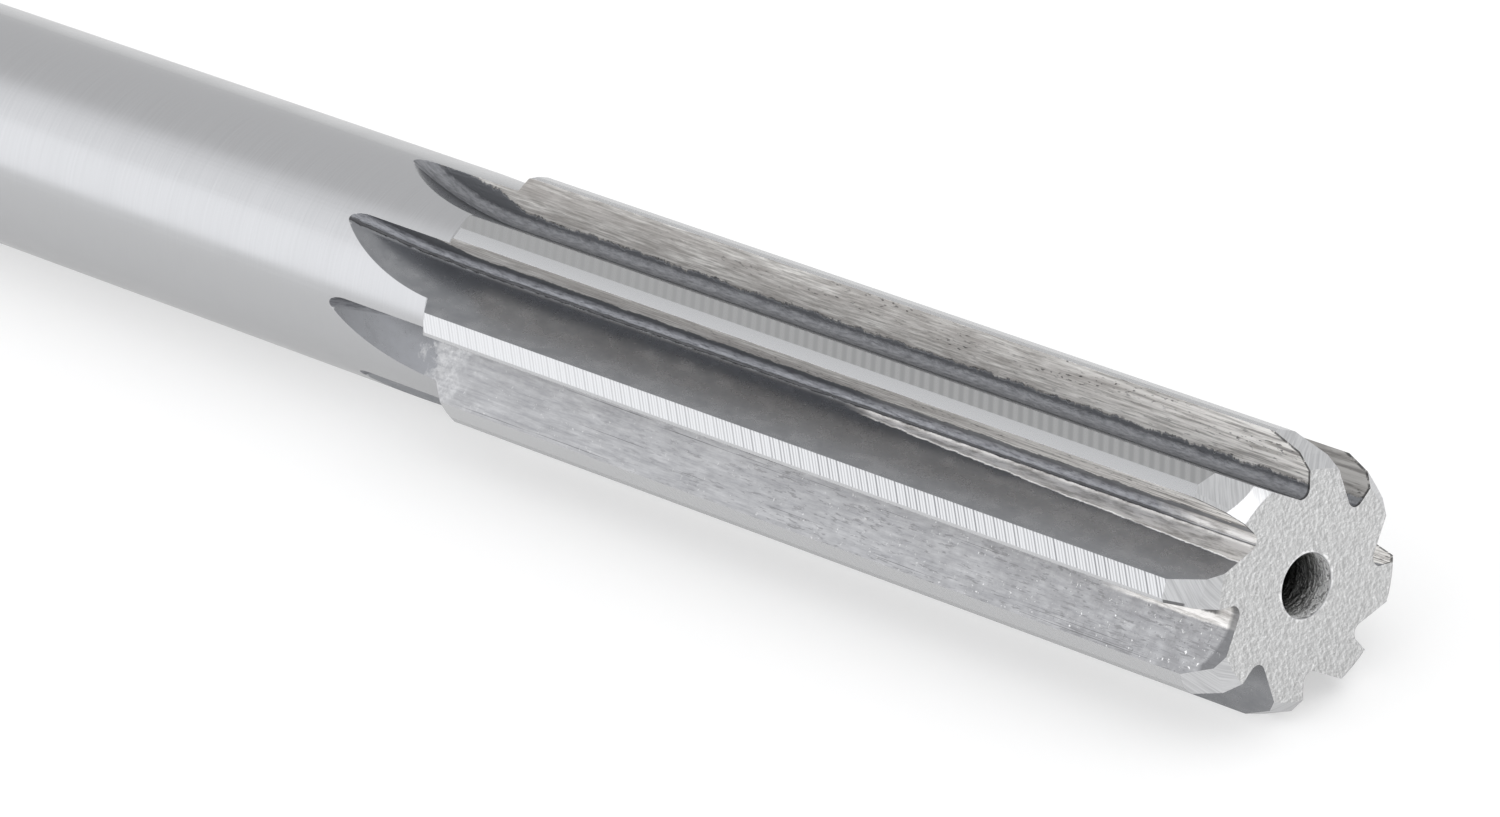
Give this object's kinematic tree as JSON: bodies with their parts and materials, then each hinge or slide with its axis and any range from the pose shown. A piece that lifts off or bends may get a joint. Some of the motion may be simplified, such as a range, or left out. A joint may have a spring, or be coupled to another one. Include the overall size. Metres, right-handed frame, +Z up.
{
  "type": "machine reamer",
  "caption": "Straight-shank machine reamer: straight radial flutes with run-outs, relieved lands, a tapered lead and a plain round shank, in one piece.",
  "frame": {"origin": "middle of the flat face at the cutting end, on the tool's axis", "axes": "+X along the axis and out of the cutting end, +Z up as the reamer lies on two neighbouring teeth"},
  "size_m": [0.2032, 0.012, 0.012],
  "materials": {
    "reamer": "ground high-speed steel"
  },
  "bodies": {
    "root": {"reamer": "reamer"}
  },
  "joints": []
}
